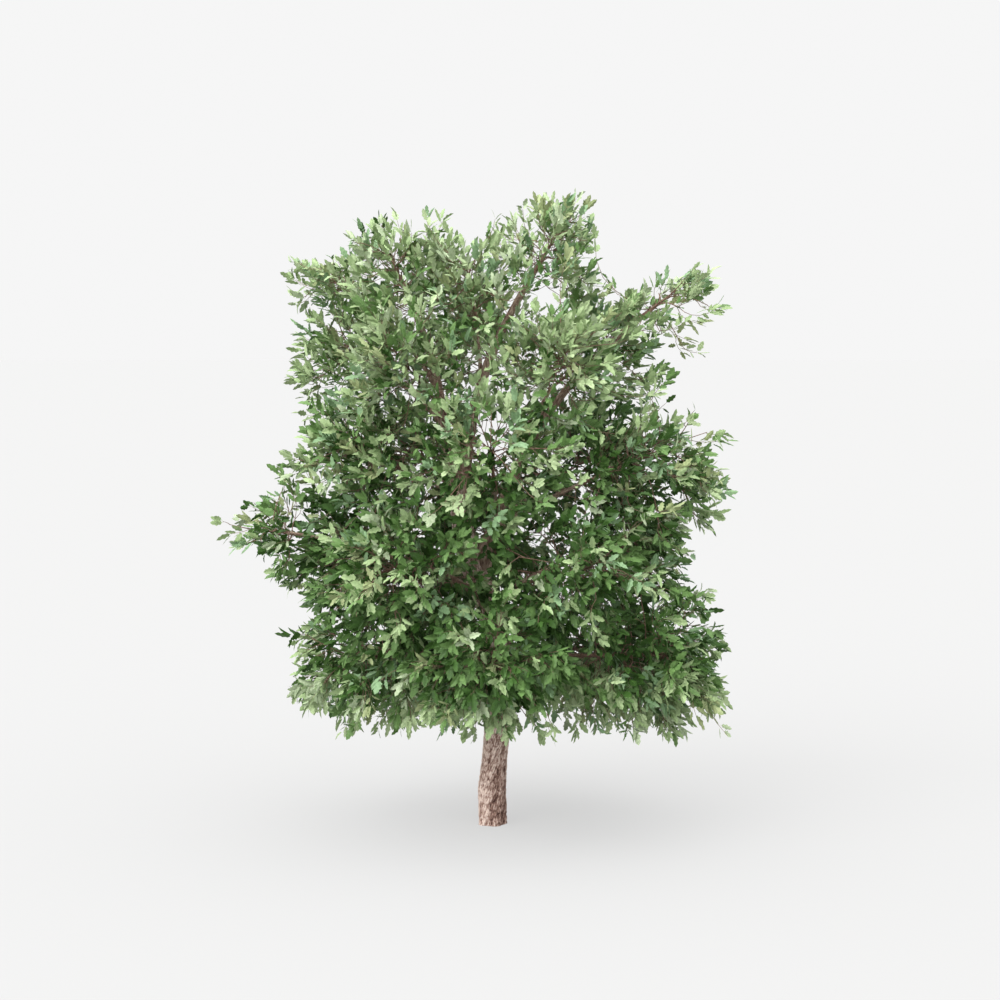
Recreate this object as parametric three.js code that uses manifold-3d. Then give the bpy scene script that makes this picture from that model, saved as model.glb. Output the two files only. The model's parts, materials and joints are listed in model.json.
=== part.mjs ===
// A maple in full summer leaf, in millimetres, +Z up, with the flat cut under its trunk at the origin.
// It is seen from the front when looking along +Y: the trunk bends to the left as it climbs, and one
// long arm of the crown reaches out high on the right.
// Every limb is one tapering solid. Every mass of foliage is one solid: a stem, the twigs that branch
// from it, the leaves at their ends and, where the crown is dense, a core that they stand out of.
import * as THREE from "three";
import { mergeVertices } from "three/addons/utils/BufferGeometryUtils.js";
import Module from "manifold-3d";

const wasm = await Module();
wasm.setup();

// Trunk: its centre line and its radius, from the ground to the fork.
const TRUNK_LINE = [
  [0, 0, 0],
  [0, 0, 150],
  [0, 0, 350],
  [42, 0, 850],
  [72, 0, 1300],
  [15, -20, 2050],
  [-235, -50, 2750],
  [-345, -60, 3400],
];
const TRUNK_GIRTH = [
  { height: 0, radius: 143 },
  { height: 300, radius: 142 },
  { height: 720, radius: 126 },
  { height: 1250, radius: 137 },
  { height: 3400, radius: 104 },
];
const TRUNK_SIDES = 12;
const TRUNK_RINGS = 12;
const ROOT_RIBS = 5;
const ROOT_RIB_DEPTH = 0.07;
const ROOT_RIB_HEIGHT = 420;
const GRAIN_TWIST = 1.1; // radians that the ribs turn by in a metre of trunk

// Leaders: the limbs that the trunk forks into. Each one ends in the mass of the same name.
const LEADERS = [
  { name: "left", foot: 3230, footRadius: 78, tipRadius: 30, knee: [-650, -60, 4550], arrive: 66 },
  { name: "middle", foot: 3260, footRadius: 80, tipRadius: 30, knee: [-160, 20, 4750], arrive: 58 },
  { name: "right", foot: 2520, footRadius: 66, tipRadius: 26, knee: [420, 60, 4300], arrive: 38 },
];
const LEADER_SIDES = 8;
const LEADER_RINGS = 9;
const KNEE_EASE = 0.35; // how far a knee draws back towards the leader's foot
const LEADER_TURN = 0.4; // share of a leader's span in which it turns to face its mass

// Boughs, in shares of their own span or foot radius.
const BOUGH_SIDES = 6;
const BOUGH_RINGS = 4;
const BOUGH_TURN = 0.5;
const BOUGH_TIP = 0.45;
const LIMB_TAPER = 0.8; // below 1 a limb loses most of its girth near its foot
const FOOT_SWELLING = 0.35;
const FOOT_SWELLING_SPAN = 0.22;

// The masses that stand in rings round the axis, one tier above the other. reach is how far the crown
// goes to the right, back, left and front of the axis. Every radius is [level, upright]. The boughs
// of a tier with no parent grow from the trunk or leader that passes nearest.
const TIERS = [
  {
    name: "skirt", height: 1730, count: 5, turn: 270, radius: [1080, 840], parent: "trunk",
    reach: [2560, 2150, 2150, 2150], rise: 430, arrive: 2, girth: 46, core: 0.62,
  },
  {
    name: "waist", height: 2700, count: 5, turn: 90, radius: [1040, 860], parent: "trunk",
    reach: [2300, 2100, 2330, 2100], rise: 640, arrive: 14, girth: 44, core: 0.62,
  },
  {
    name: "shoulder", height: 3670, count: 5, turn: 270, radius: [1020, 860],
    reach: [2520, 1950, 2180, 1950], rise: 800, arrive: 24, girth: 42, core: 0.62,
  },
  {
    name: "brow", height: 4640, count: 5, turn: 90, radius: [900, 880],
    reach: [1900, 1650, 2200, 1650], rise: 700, arrive: 34, girth: 34, core: 0.6,
  },
];
const STAGGER = [1, 0.5, -1, -0.6, 0.5]; // how far up or down each mass of a tier stands, as below
const MASS_STAGGER = 0.09; // share of a mass's upright radius
const FOOT_STAGGER = 0.12;

// The masses that stand out of the rings, each at its own place.
const SINGLE_MASSES = [
  { name: "left", centre: [-880, -200, 5440], radii: [740, 760, 720], core: 0.58 },
  { name: "middle", centre: [540, 180, 5760], radii: [700, 760, 690], core: 0.56 },
  { name: "right", centre: [1600, 60, 5200], radii: [900, 640, 540], core: 0.6 },
  {
    name: "jut", centre: [-2200, -60, 2980], radii: [560, 520, 540],
    parent: "trunk", foot: 2330, girth: 34, arrive: 6, core: 0.4,
  },
  {
    name: "wing", centre: [-1540, 300, 5440], radii: [540, 560, 480],
    parent: "leader_left", foot: 4380, girth: 26, arrive: 30, core: 0.4,
  },
  {
    name: "crest", centre: [-190, -260, 5290], radii: [840, 820, 700],
    parent: "leader_middle", foot: 4420, girth: 28, arrive: 62, core: 0.55,
  },
];
const BULGE = 2.6; // above 2 the ovals bulge towards drums
const ENTRY_SHARE = 0.62; // how far from a mass's centre its bough ends, within the mass's own space

// Masses above this height look up and those below look down, by this much.
const CROWN_HEART = { height: 3300, tilt: 0.35 };

// The flat underside of the crown, which rises towards the front.
const UNDERSIDE = { height: 870, rise: 0.2 };

// Cores, in shares of the mass's reach in each direction.
const CORE_BESIDE = 0.92;
const CORE_INWARD = 0.55;
const CORE_LOOKS_INWARD = -0.5; // cosine between a direction and the way out of the crown
const CORE_AIR = 0.82; // a direction that reaches this far across the oval ends in the open air
const CORE_LUMPS = 4;
const CORE_LUMP_DEPTH = 0.06;

// Stems and twigs.
const STEM_SHARE = 0.35; // how far past a mass's centre its stem goes
const STEM_TAPER = 0.6;
const TWIG_DIRECTIONS = 26;
const TWIG_OPEN_SHARE = 0.62; // a twig grows where its mass reaches this far across its oval
const TWIG_SHARE = 0.74;
const TWIG_SHARE_JITTER = 0.05;
const TWIG_SPIN_JITTER = 0.5;
const TWIG_FOOT_RADIUS = 0.75; // share of the stem's
const TWIG_TIP_RADIUS = 15;
const TWIG_FEET = [-0.5, 0.9 * STEM_SHARE]; // along the stem: of twigs that look back and forward
const FEWEST_LEAVES = 2; // on a twig
const MOST_LEAVES = 15; // in a mass

// Leaves. Half of the outline runs from the middle lobe round to the stalk: angle from the middle
// lobe, in degrees, and reach from the stalk's end, in shares of the leaf's length.
const LEAF_OUTLINE = [
  { angle: 0, reach: 1 },
  { angle: 22, reach: 0.55 },
  { angle: 47, reach: 0.82 },
  { angle: 180, reach: 0 },
];
const LEAF_SIZES = [500, 430, 370, 310, 260]; // the longest that fits is taken
const LEAF_MIDDLE = 0.42; // share of its length
const LEAF_THICKNESS = 0.035; // share of its length, at the middle
const LEAF_CUP = 0.12; // share of its length that the lobes hang below the middle
const LEAF_LIFT = 12; // degrees that a leaf stands up from the face of its mass
const LEAF_LIFT_JITTER = 22;
const LEAF_SKY_JITTER = 0.4;
const LEAF_ROOT_DEPTH = 16; // from the end of its twig to a leaf's root

// Clearances.
const JOINT_GAP = 0.3; // between solids that meet
const LIMB_ROOM = 4; // between leaves and limbs
const MASS_ROOM = 9; // between a mass and the face it shares with its neighbour

// Fineness with which lines are searched.
const REACH_STEP = 15;
const AXIS_STEPS = 200;
const AXIS_MISS = 20; // a limb whose axis stays further than this from a height doesn't reach it

const FIRST_SEED = 101;
const SEED_STEP = 37;

const UP = new THREE.Vector3(0, 0, 1);
const TURN = 2 * Math.PI;
const { degToRad, smoothstep, lerp } = THREE.MathUtils;
const vector = ([x, y, z]) => new THREE.Vector3(x, y, z);

// A repeatable run of numbers from 0 to 1.
function seeded(seed) {
  let state = seed >>> 0;
  return () => {
    state = (Math.imul(state, 1664525) + 1013904223) >>> 0;
    return state / 2 ** 32;
  };
}

function solidOf(geometry) {
  geometry.deleteAttribute("normal");
  geometry.deleteAttribute("uv");
  const { attributes, index } = mergeVertices(geometry, 0.01);
  return new wasm.Manifold(
    new wasm.Mesh({
      numProp: 3,
      vertProperties: attributes.position.array,
      triVerts: new Uint32Array(index.array),
    }),
  );
}

// The largest closed body of a solid, without loose scraps and sealed hollows.
function mainBody(solid) {
  return solid.decompose().sort((a, b) => b.volume() - a.volume())[0];
}

function meshOf(name, solid, material) {
  const { vertProperties, triVerts } = solid.getMesh();
  const geometry = new THREE.BufferGeometry();
  geometry.setAttribute("position", new THREE.BufferAttribute(vertProperties, 3));
  geometry.setIndex(new THREE.BufferAttribute(triVerts, 1));
  geometry.computeVertexNormals();
  const mesh = new THREE.Mesh(geometry, material);
  mesh.name = name;
  return mesh;
}

// Masses and the space that each one keeps to.

// Each tier's masses stand on an oval whose four reaches are named, so that they touch the outline.
function tierMasses(tier) {
  const [right, back, left, front] = tier.reach;
  const [level, upright] = tier.radius;
  return Array.from({ length: tier.count }, (_, i) => {
    const angle = degToRad(tier.turn + (360 * i) / tier.count);
    const x = Math.cos(angle) * ((Math.cos(angle) > 0 ? right : left) - level);
    const y = Math.sin(angle) * ((Math.sin(angle) > 0 ? back : front) - level);
    const height = tier.height + MASS_STAGGER * upright * STAGGER[i];
    return {
      ...tier,
      name: `${tier.name}_${i + 1}`,
      centre: new THREE.Vector3(x, y, height),
      radii: new THREE.Vector3(level, level, upright),
      foot: height - tier.rise + FOOT_STAGGER * upright * STAGGER[i],
    };
  });
}

function singleMass(single) {
  return { ...single, centre: vector(single.centre), radii: vector(single.radii) };
}

const masses = [...TIERS.flatMap(tierMasses), ...SINGLE_MASSES.map(singleMass)];
for (const mass of masses) {
  const { x, y, z } = mass.centre;
  const tilt = CROWN_HEART.tilt * (z - CROWN_HEART.height);
  mass.outward = new THREE.Vector3(x, y, tilt).normalize();
  mass.meanRadius = (mass.radii.x + mass.radii.y + mass.radii.z) / 3;
}

// How far a step from a mass's centre goes towards the face of its oval: 1 is on the face.
function ovalShare(step, { radii }) {
  const level = Math.hypot(step.x / radii.x, step.y / radii.y);
  return (level ** BULGE + Math.abs(step.z / radii.z) ** BULGE) ** (1 / BULGE);
}

// True where a point is inside a mass's oval and on its own side of the faces between neighbours.
function inOwnSpace(point, mass) {
  if (ovalShare(new THREE.Vector3().subVectors(point, mass.centre), mass) > 1) return false;
  if (point.z < UNDERSIDE.height - UNDERSIDE.rise * Math.min(point.y, 0)) return false;
  const power = (other) => point.distanceToSquared(other.centre) - other.meanRadius ** 2;
  const own = power(mass);
  const depthBehindFace = (other) =>
    (power(other) - own) / (2 * mass.centre.distanceTo(other.centre));
  return masses.every((other) => other === mass || depthBehindFace(other) > MASS_ROOM);
}

// How far a mass's own space goes from its centre in a direction.
function reachAlong(direction, mass) {
  const point = mass.centre.clone();
  let reach = 0;
  while (inOwnSpace(point.addScaledVector(direction, REACH_STEP), mass)) reach += REACH_STEP;
  return reach;
}

// Limbs.

// A closed limb: a cylinder whose rings are laid along a line, each with its own radius.
function limbSolid({ line, radiusAt, sides, rings }, growth = 0) {
  const geometry = new THREE.CylinderGeometry(1, 1, 1, sides, rings);
  const { tangents, normals, binormals } = line.computeFrenetFrames(rings);
  const position = geometry.getAttribute("position");
  for (let i = 0; i < position.count; i += 1) {
    const ring = Math.round((position.getY(i) + 0.5) * rings);
    const across = position.getX(i);
    const along = position.getZ(i);
    const radius = radiusAt(ring / rings, Math.atan2(along, across)) + growth;
    const point = line
      .getPointAt(ring / rings)
      .addScaledVector(binormals[ring], across * radius)
      .addScaledVector(normals[ring], along * radius)
      .addScaledVector(tangents[ring], ring === rings ? growth : 0);
    position.setXYZ(i, point.x, point.y, point.z);
  }
  return solidOf(geometry);
}

function trunkGirthAt(height) {
  const above = TRUNK_GIRTH.findIndex((station) => station.height >= height);
  const next = TRUNK_GIRTH[Math.max(above, 1)];
  const last = TRUNK_GIRTH[Math.max(above, 1) - 1];
  return lerp(last.radius, next.radius, smoothstep(height, last.height, next.height));
}

function trunkLimb() {
  const line = new THREE.CatmullRomCurve3(TRUNK_LINE.map(vector));
  const radiusAt = (share, angle) => {
    const height = line.getPointAt(share).z;
    const fade = 1 - smoothstep(height, 0, ROOT_RIB_HEIGHT);
    const rib = Math.cos(ROOT_RIBS * (angle + (GRAIN_TWIST * height) / 1000));
    return trunkGirthAt(height) * (1 + ROOT_RIB_DEPTH * fade * rib);
  };
  return { name: "trunk", line, radiusAt, sides: TRUNK_SIDES, rings: TRUNK_RINGS };
}

// The point of a limb's axis that is nearest to a height.
function pointAtHeight(limb, height) {
  const miss = (point) => Math.abs(point.z - height);
  return limb.line.getSpacedPoints(AXIS_STEPS).reduce((a, b) => (miss(b) < miss(a) ? b : a));
}

// A limb that leaves its parent's axis at a height and arrives at the foot of its mass, pointing at
// the mass's heart. A leader passes a knee on its way.
function limbTo(mass, { name, parent, foot, knee, footRadius, tipRadius, arrive }) {
  const start = pointAtHeight(parent, foot);
  const outward = new THREE.Vector3().subVectors(mass.centre, start).setZ(0).normalize();
  const heading = outward
    .multiplyScalar(Math.cos(degToRad(arrive)))
    .addScaledVector(UP, Math.sin(degToRad(arrive)));
  const room = reachAlong(heading.clone().negate(), mass);
  const end = mass.centre.clone().addScaledVector(heading, -ENTRY_SHARE * room);
  const span = start.distanceTo(end);
  const before = (turn) => end.clone().addScaledVector(heading, -turn * span);
  const line = knee
    ? new THREE.CubicBezierCurve3(start, vector(knee).lerp(start, KNEE_EASE), before(LEADER_TURN), end)
    : new THREE.QuadraticBezierCurve3(start, before(BOUGH_TURN), end);
  const radiusAt = (share) =>
    lerp(footRadius, tipRadius, share ** LIMB_TAPER) +
    FOOT_SWELLING * footRadius * (1 - smoothstep(share, 0, FOOT_SWELLING_SPAN));
  mass.foot = end;
  mass.heading = heading;
  mass.stemRadius = tipRadius;
  const sides = knee ? LEADER_SIDES : BOUGH_SIDES;
  const rings = knee ? LEADER_RINGS : BOUGH_RINGS;
  return { name, line, radiusAt, sides, rings };
}

// The trunk or leader whose axis passes nearest to a mass at the height of its bough's foot.
function nearestParent(mass, stems) {
  const distance = (limb) => {
    const point = pointAtHeight(limb, mass.foot);
    return Math.abs(point.z - mass.foot) > AXIS_MISS ? Infinity : point.distanceTo(mass.centre);
  };
  return stems.reduce((a, b) => (distance(b) < distance(a) ? b : a));
}

// Twigs and leaves.

// A frame for a twig from one point to another, whose "front" looks up, so that one face looks down.
function twigFrame(foot, tip, spin = 0) {
  const axis = new THREE.Vector3().subVectors(tip, foot).normalize();
  const isUpright = Math.abs(axis.z) > 0.97;
  const front = (isUpright ? new THREE.Vector3(1, 0, 0) : UP.clone()).applyAxisAngle(axis, spin);
  const side = new THREE.Vector3().crossVectors(axis, front).normalize();
  front.crossVectors(side, axis);
  return { foot, axis, side, front, length: foot.distanceTo(tip) };
}

// A three-sided twig that tapers along an axis. Its faces look to 60, 180 and 300 degrees, counted from
// the "front" direction towards the "side" one.
function twigSolid({ foot, axis, side, front, length }, footRadius, tipRadius) {
  const place = new THREE.Matrix4().makeBasis(side, axis, front).setPosition(foot);
  const geometry = new THREE.CylinderGeometry(tipRadius, footRadius, length, 3)
    .translate(0, length / 2, 0)
    .applyMatrix4(place);
  return solidOf(geometry);
}

// One leaf, a unit long: its lobed outline, with one point above and one below its middle.
const LEAF = (() => {
  const right = LEAF_OUTLINE.map(({ angle, reach }) => [
    reach * Math.sin(degToRad(angle)),
    reach * Math.cos(degToRad(angle)),
    -LEAF_CUP * reach ** 2,
  ]);
  const left = right.slice(1, -1).reverse().map(([x, y, z]) => [-x, y, z]);
  const outline = [...right, ...left];
  const n = outline.length;
  const top = [0, LEAF_MIDDLE, LEAF_THICKNESS / 2];
  const bottom = [0, LEAF_MIDDLE, -LEAF_THICKNESS / 2];
  const faces = outline.flatMap((_, i) => [n, (i + 1) % n, i, n + 1, i, (i + 1) % n]);
  return { points: [...outline, top, bottom].map(vector), faces };
})();

// A leaf that grows from a root towards a direction, with its upper face turned to a sky direction.
function leafPoints(root, direction, sky, length) {
  const side = new THREE.Vector3().crossVectors(direction, sky).normalize();
  const face = new THREE.Vector3().crossVectors(side, direction);
  const place = new THREE.Matrix4()
    .makeBasis(side, direction, face)
    .scale(new THREE.Vector3(length, length, length))
    .setPosition(root);
  return LEAF.points.map((point) => point.clone().applyMatrix4(place));
}

function leafSolid(points) {
  return solidOf(new THREE.BufferGeometry().setFromPoints(points).setIndex(LEAF.faces));
}

// Directions spread evenly over a sphere.
function spreadDirections(count, turn) {
  const golden = Math.PI * (3 - Math.sqrt(5));
  return Array.from({ length: count }, (_, i) => {
    const z = 1 - (2 * i + 1) / count;
    const ring = Math.sqrt(1 - z * z);
    return new THREE.Vector3(ring * Math.cos(golden * i + turn), ring * Math.sin(golden * i + turn), z);
  });
}

// A lumpy core inside a dense mass. It fills less of the mass towards the open air, where the leaves
// stand, and towards the trunk, than beside its neighbours.
function coreSolid(mass, random) {
  const geometry = new THREE.IcosahedronGeometry(1, 1);
  const phase = [random(), random(), random()].map((share) => share * TURN);
  const position = geometry.getAttribute("position");
  for (let i = 0; i < position.count; i += 1) {
    const direction = new THREE.Vector3().fromBufferAttribute(position, i).normalize();
    const lump =
      Math.sin(CORE_LUMPS * direction.x + phase[0]) +
      Math.sin(CORE_LUMPS * direction.y + phase[1]) +
      Math.sin(CORE_LUMPS * direction.z + phase[2]);
    const reach = reachAlong(direction, mass);
    const looksInward = direction.dot(mass.outward) < CORE_LOOKS_INWARD;
    const closed = looksInward ? CORE_INWARD : CORE_BESIDE;
    const share = reach * ovalShare(direction, mass) > CORE_AIR ? mass.core : closed;
    const filled = Math.min(share * (1 + CORE_LUMP_DEPTH * lump), CORE_BESIDE);
    const point = mass.centre.clone().addScaledVector(direction, reach * filled);
    position.setXYZ(i, point.x, point.y, point.z);
  }
  return solidOf(geometry);
}

// The directions in which a mass is open to the air: there its oval ends before a neighbour begins.
// The one that looks straight out of the crown comes first, and those that look inward come last.
function openDirections(mass, turn) {
  const pole = new THREE.Quaternion().setFromUnitVectors(UP, mass.outward);
  return spreadDirections(TWIG_DIRECTIONS, turn)
    .map((direction) => direction.applyQuaternion(pole))
    .map((direction) => ({ direction, reach: reachAlong(direction, mass) }))
    .filter(({ direction, reach }) => reach * ovalShare(direction, mass) > TWIG_OPEN_SHARE);
}

// One mass: its stem, its core, and twigs that leave the stem further along the more they look
// forward. Each twig carries up to three leaves, one on each of its faces. A leaf that would leave
// the mass's space, or touch a limb or anything grown, is tried shorter and then left out.
function growMass(mass, limbRoom, seed) {
  const random = seeded(seed);
  const jitter = (amount) => (random() - 0.5) * 2 * amount;
  const { centre: heart, heading, stemRadius, meanRadius } = mass;
  const stemFoot = mass.foot.clone().addScaledVector(heading, JOINT_GAP);
  const stemTip = heart.clone().addScaledVector(heading, STEM_SHARE * meanRadius);
  let grown = twigSolid(twigFrame(stemFoot, stemTip), stemRadius, STEM_TAPER * stemRadius);
  grown = grown.add(coreSolid(mass, random).subtract(limbRoom));
  const isFree = (solid) => solid.intersect(limbRoom).isEmpty() && solid.intersect(grown).isEmpty();
  const longestLeaf = (...place) => {
    for (const size of LEAF_SIZES) {
      const points = leafPoints(...place, size);
      if (!points.every((point) => inOwnSpace(point, mass))) continue;
      const leaf = leafSolid(points);
      if (isFree(leaf)) return leaf;
    }
    return null;
  };

  let leafCount = 0;
  for (const { direction, reach } of openDirections(mass, random() * TURN)) {
    const along = lerp(...TWIG_FEET, 0.5 + 0.5 * direction.dot(heading));
    const foot = heart.clone().addScaledVector(heading, along * meanRadius);
    const length = reach * (TWIG_SHARE + jitter(TWIG_SHARE_JITTER));
    const tip = heart.clone().addScaledVector(direction, length);
    const frame = twigFrame(foot, tip, jitter(TWIG_SPIN_JITTER));
    const root = foot.clone().addScaledVector(frame.axis, frame.length - LEAF_ROOT_DEPTH);
    const rosette = [60, 180, 300].map((turn) => {
      const lift = degToRad(LEAF_LIFT + jitter(LEAF_LIFT_JITTER));
      const towards = frame.front
        .clone()
        .multiplyScalar(Math.cos(degToRad(turn)))
        .addScaledVector(frame.side, Math.sin(degToRad(turn)))
        .multiplyScalar(Math.cos(lift))
        .addScaledVector(direction, Math.sin(lift))
        .normalize();
      const lean = [0, 0, LEAF_SKY_JITTER].map((least) => least + jitter(LEAF_SKY_JITTER));
      return longestLeaf(root, towards, vector(lean).add(direction));
    });
    const leaves = rosette.filter(Boolean);
    const twig = twigSolid(frame, TWIG_FOOT_RADIUS * stemRadius, TWIG_TIP_RADIUS);
    if (leaves.length < FEWEST_LEAVES || !twig.intersect(limbRoom).isEmpty()) continue;
    grown = wasm.Manifold.union([grown, twig, ...leaves]);
    leafCount += leaves.length;
    if (leafCount >= MOST_LEAVES) break;
  }
  return mainBody(grown);
}

// The tree, put together.
const bark = new THREE.MeshStandardMaterial({ color: 0x9a7c6c, roughness: 0.95, metalness: 0 });
const foliage = new THREE.MeshStandardMaterial({ color: 0x5d7d48, roughness: 0.75, metalness: 0 });
const tree = new THREE.Group();
tree.name = "maple";

const trunk = trunkLimb();
const leaders = LEADERS.map((leader) => {
  const mass = masses.find(({ name }) => name === leader.name);
  return limbTo(mass, { ...leader, name: `leader_${leader.name}`, parent: trunk });
});
const stems = [trunk, ...leaders];
const boughs = masses
  .filter((mass) => !mass.heading)
  .map((mass) =>
    limbTo(mass, {
      name: `bough_${mass.name}`,
      parent: stems.find(({ name }) => name === mass.parent) ?? nearestParent(mass, stems),
      foot: mass.foot,
      footRadius: mass.girth,
      tipRadius: BOUGH_TIP * mass.girth,
      arrive: mass.arrive,
    }),
  );
const limbs = [...stems, ...boughs];

// Each limb is cut clear of those before it, so that its foot fits round its parent.
let taken = null;
for (const limb of limbs) {
  const whole = limbSolid(limb);
  tree.add(meshOf(limb.name, mainBody(taken ? whole.subtract(taken) : whole), bark));
  const swollen = limbSolid(limb, JOINT_GAP);
  taken = taken ? taken.add(swollen) : swollen;
}

const limbRoom = wasm.Manifold.union(limbs.map((limb) => limbSolid(limb, LIMB_ROOM)));
masses.forEach((mass, i) => {
  const solid = growMass(mass, limbRoom, FIRST_SEED + SEED_STEP * i);
  tree.add(meshOf(`foliage_${mass.name}`, solid, foliage));
});

export default tree;
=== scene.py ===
import json
import math

import bpy
import numpy as np
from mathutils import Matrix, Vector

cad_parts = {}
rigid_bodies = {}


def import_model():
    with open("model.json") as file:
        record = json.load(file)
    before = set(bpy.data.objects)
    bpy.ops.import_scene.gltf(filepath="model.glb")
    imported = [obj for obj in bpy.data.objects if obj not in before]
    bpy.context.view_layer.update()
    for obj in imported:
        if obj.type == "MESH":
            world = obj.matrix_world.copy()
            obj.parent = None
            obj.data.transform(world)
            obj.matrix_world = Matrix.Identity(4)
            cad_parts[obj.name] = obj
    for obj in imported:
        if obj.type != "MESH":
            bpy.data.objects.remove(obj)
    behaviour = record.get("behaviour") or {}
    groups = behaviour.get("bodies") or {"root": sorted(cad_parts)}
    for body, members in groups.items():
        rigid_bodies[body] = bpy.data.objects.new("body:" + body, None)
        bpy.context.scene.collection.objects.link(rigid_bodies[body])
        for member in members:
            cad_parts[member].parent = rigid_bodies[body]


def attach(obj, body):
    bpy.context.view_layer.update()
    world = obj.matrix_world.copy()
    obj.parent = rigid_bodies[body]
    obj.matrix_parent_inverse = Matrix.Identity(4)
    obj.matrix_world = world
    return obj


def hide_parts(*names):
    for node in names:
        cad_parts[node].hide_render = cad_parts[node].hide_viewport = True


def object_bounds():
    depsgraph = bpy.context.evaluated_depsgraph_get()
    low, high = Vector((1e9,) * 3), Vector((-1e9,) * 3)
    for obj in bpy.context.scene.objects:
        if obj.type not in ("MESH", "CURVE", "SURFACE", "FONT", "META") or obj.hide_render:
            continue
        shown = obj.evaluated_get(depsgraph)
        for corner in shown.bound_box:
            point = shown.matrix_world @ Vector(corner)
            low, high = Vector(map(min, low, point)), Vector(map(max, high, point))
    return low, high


# A maple in full summer leaf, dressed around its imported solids, in metres. Its limbs and masses are
# worked out as the solids' are. Bark with relief stands for every limb. In every mass twigs grow from
# the same stem by the same rule, which is then carried on: pairs of finer twigs grow along each twig
# and turn to the light, and each of them ends in a spray of leaves.

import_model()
cad_box = [list(corner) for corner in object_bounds()]

# Trunk: its centre line, and its radius at some heights, from the ground to the fork.
TRUNK_LINE = [
    (0, 0, 0),
    (0, 0, 0.15),
    (0, 0, 0.35),
    (0.042, 0, 0.85),
    (0.072, 0, 1.3),
    (0.015, -0.02, 2.05),
    (-0.235, -0.05, 2.75),
    (-0.345, -0.06, 3.4),
]
TRUNK_GIRTH = [(0, 0.143), (0.3, 0.142), (0.72, 0.126), (1.25, 0.137), (3.4, 0.104)]
ROOT_RIBS = 5
ROOT_RIB_DEPTH = 0.07  # of the radius
ROOT_RIB_HEIGHT = 0.42
ROOT_RIB_TWIST = 1.1  # radians that the ribs turn by in a metre of trunk

# Leaders: the limbs that the trunk forks into. Each one ends in the mass of the same name.
LEADERS = [
    {"name": "left", "foot": 3.23, "radii": (0.078, 0.03), "knee": (-0.65, -0.06, 4.55), "arrive": 66},
    {"name": "middle", "foot": 3.26, "radii": (0.08, 0.03), "knee": (-0.16, 0.02, 4.75), "arrive": 58},
    {"name": "right", "foot": 2.52, "radii": (0.066, 0.026), "knee": (0.42, 0.06, 4.3), "arrive": 38},
]
KNEE_EASE = 0.35
LEADER_TURN = 0.4
BOUGH_TURN = 0.5
BOUGH_TIP = 0.45
LIMB_TAPER = 0.8
FOOT_SWELLING = 0.35
FOOT_SWELLING_SPAN = 0.22
SAME_HEIGHT = 0.02  # between a bough's foot and a limb that passes at its height

# The masses of foliage. reach is how far a tier goes to the right, back, left and front.
TIERS = [
    {"name": "skirt", "height": 1.73, "turn": 270, "radius": (1.08, 0.84), "parent": "trunk",
     "reach": (2.56, 2.15, 2.15, 2.15), "rise": 0.43, "arrive": 2, "girth": 0.046},
    {"name": "waist", "height": 2.7, "turn": 90, "radius": (1.04, 0.86), "parent": "trunk",
     "reach": (2.3, 2.1, 2.33, 2.1), "rise": 0.64, "arrive": 14, "girth": 0.044},
    {"name": "shoulder", "height": 3.67, "turn": 270, "radius": (1.02, 0.86), "parent": None,
     "reach": (2.52, 1.95, 2.18, 1.95), "rise": 0.8, "arrive": 24, "girth": 0.042},
    {"name": "brow", "height": 4.64, "turn": 90, "radius": (0.9, 0.88), "parent": None,
     "reach": (1.9, 1.65, 2.2, 1.65), "rise": 0.7, "arrive": 34, "girth": 0.034},
]
STAGGER = [1, 0.5, -1, -0.6, 0.5]
MASS_STAGGER = 0.09
FOOT_STAGGER = 0.12
SINGLE_MASSES = [
    {"name": "left", "centre": (-0.88, -0.2, 5.44), "radii": (0.74, 0.76, 0.72)},
    {"name": "middle", "centre": (0.54, 0.18, 5.76), "radii": (0.7, 0.76, 0.69)},
    {"name": "right", "centre": (1.6, 0.06, 5.2), "radii": (0.9, 0.64, 0.54)},
    {"name": "jut", "centre": (-2.2, -0.06, 2.98), "radii": (0.56, 0.52, 0.54),
     "parent": "trunk", "foot": 2.33, "girth": 0.034, "arrive": 6},
    {"name": "wing", "centre": (-1.54, 0.3, 5.44), "radii": (0.54, 0.56, 0.48),
     "parent": "leader_left", "foot": 4.38, "girth": 0.026, "arrive": 30},
    {"name": "crest", "centre": (-0.19, -0.26, 5.29), "radii": (0.84, 0.82, 0.7),
     "parent": "leader_middle", "foot": 4.42, "girth": 0.028, "arrive": 62},
]
BULGE = 2.6
SKIRT_BULGE = 7  # of the lower halves of the lowest masses, where leaves hang down to a level edge
ENTRY_SHARE = 0.62
CROWN_HEART_HEIGHT = 3.3
CROWN_TILT = 0.35
UNDERSIDE_HEIGHT = 0.87
UNDERSIDE_RISE = 0.2
MASS_ROOM = 0.009
REACH_STEP = 0.015
LONGEST_REACH = 1.3  # of its largest radius: no mass goes further than this from its centre

# Twigs, as in the solids.
STEM_SHARE = 0.35
TWIG_DIRECTIONS = 26
TWIG_OPEN_SHARE = 0.62
TWIG_SHARE = 0.74
TWIG_SHARE_JITTER = 0.05
TWIG_FEET = (-0.5, 0.9 * STEM_SHARE)
CLOSED_TWIG_SHARE = 0.92  # of the way to a neighbour's space, for twigs that only the scene has
FIRST_SEED = 101
SEED_STEP = 37
CORE_DRAWS = 3  # random numbers that the solids take for a mass's core
TWIG_DRAWS = 13  # and for a twig's spin and its three leaves

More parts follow.
